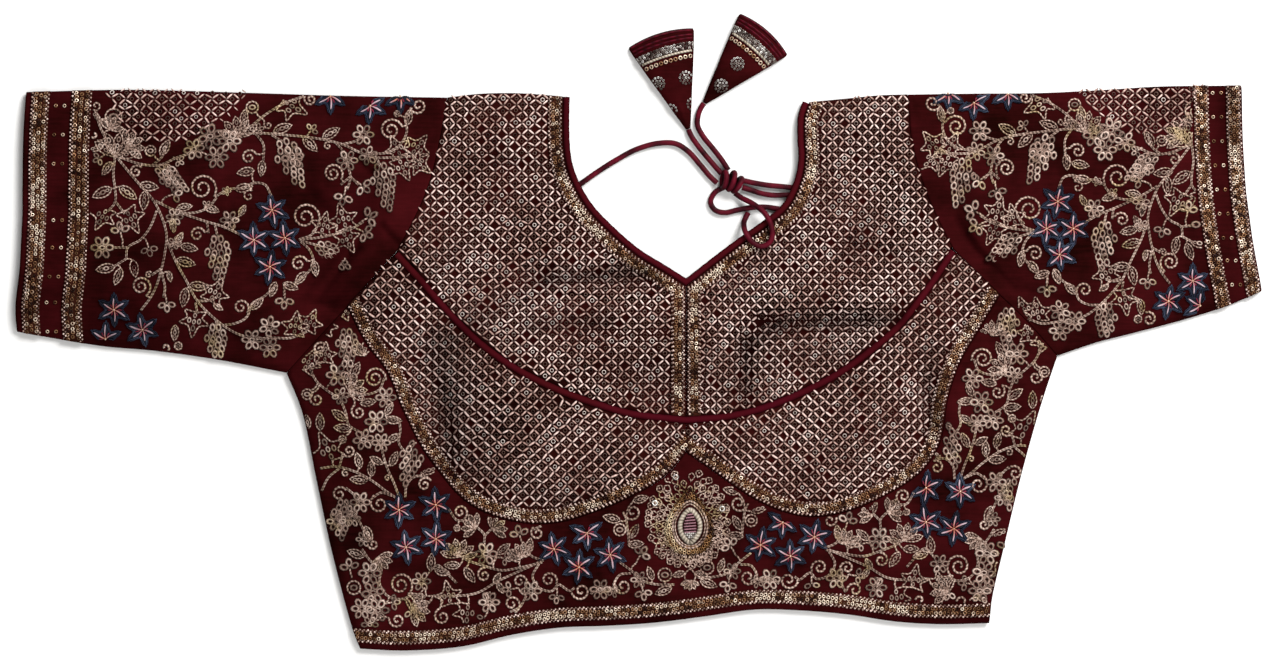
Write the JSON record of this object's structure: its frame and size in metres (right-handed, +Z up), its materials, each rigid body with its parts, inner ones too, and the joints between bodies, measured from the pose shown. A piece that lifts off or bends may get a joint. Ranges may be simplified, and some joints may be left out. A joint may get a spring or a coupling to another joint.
{
  "type": "choli blouse",
  "caption": "Padded choli blouse laid flat on its back, with short sleeves, a pointed open neck, curved cup seams and a tied back cord with tassels.",
  "frame": {"origin": "middle of the laid-out blouse without its cords, on the surface that it lies on", "axes": "+X towards the wearer's left sleeve as seen from the front, +Y towards the shoulders, +Z up out of the front"},
  "size_m": [0.7738, 0.3957, 0.0182],
  "materials": {
    "silk": "satin weave raw silk, soft sheen",
    "back_silk": "plain silk, soft sheen",
    "lattice_work": "silk covered with a beaded thread lattice",
    "sequin_border": "rows of small gold sequins between bead lines",
    "zari_applique": "raised metal-thread embroidery",
    "cord_silk": "silk tube cord, soft sheen",
    "tassel_silk": "stuffed silk, soft sheen"
  },
  "bodies": {
    "root": {"upper_cup_left": "lattice_work", "upper_cup_right": "lattice_work", "lower_cup_left": "lattice_work", "lower_cup_right": "lattice_work", "midriff": "silk", "back_left": "back_silk", "back_right": "back_silk", "sleeve_left": "silk", "sleeve_right": "silk", "neck_piping": "silk", "cup_seam_piping": "silk", "neck_border_left": "sequin_border", "neck_border_right": "sequin_border", "cup_border_left": "sequin_border", "cup_border_right": "sequin_border", "hem_border": "sequin_border", "cuff_border_left_outer": "sequin_border", "cuff_border_left_inner": "sequin_border", "cuff_border_right_outer": "sequin_border", "cuff_border_right_inner": "sequin_border", "centre_motif": "zari_applique", "dori_left": "cord_silk", "dori_right": "cord_silk", "tie_end_left": "cord_silk", "tie_end_right": "cord_silk", "bow_loop_long": "cord_silk", "bow_loop_round": "cord_silk", "dori_knot": "cord_silk", "latkan_left": "tassel_silk", "latkan_right": "tassel_silk"}
  },
  "joints": []
}
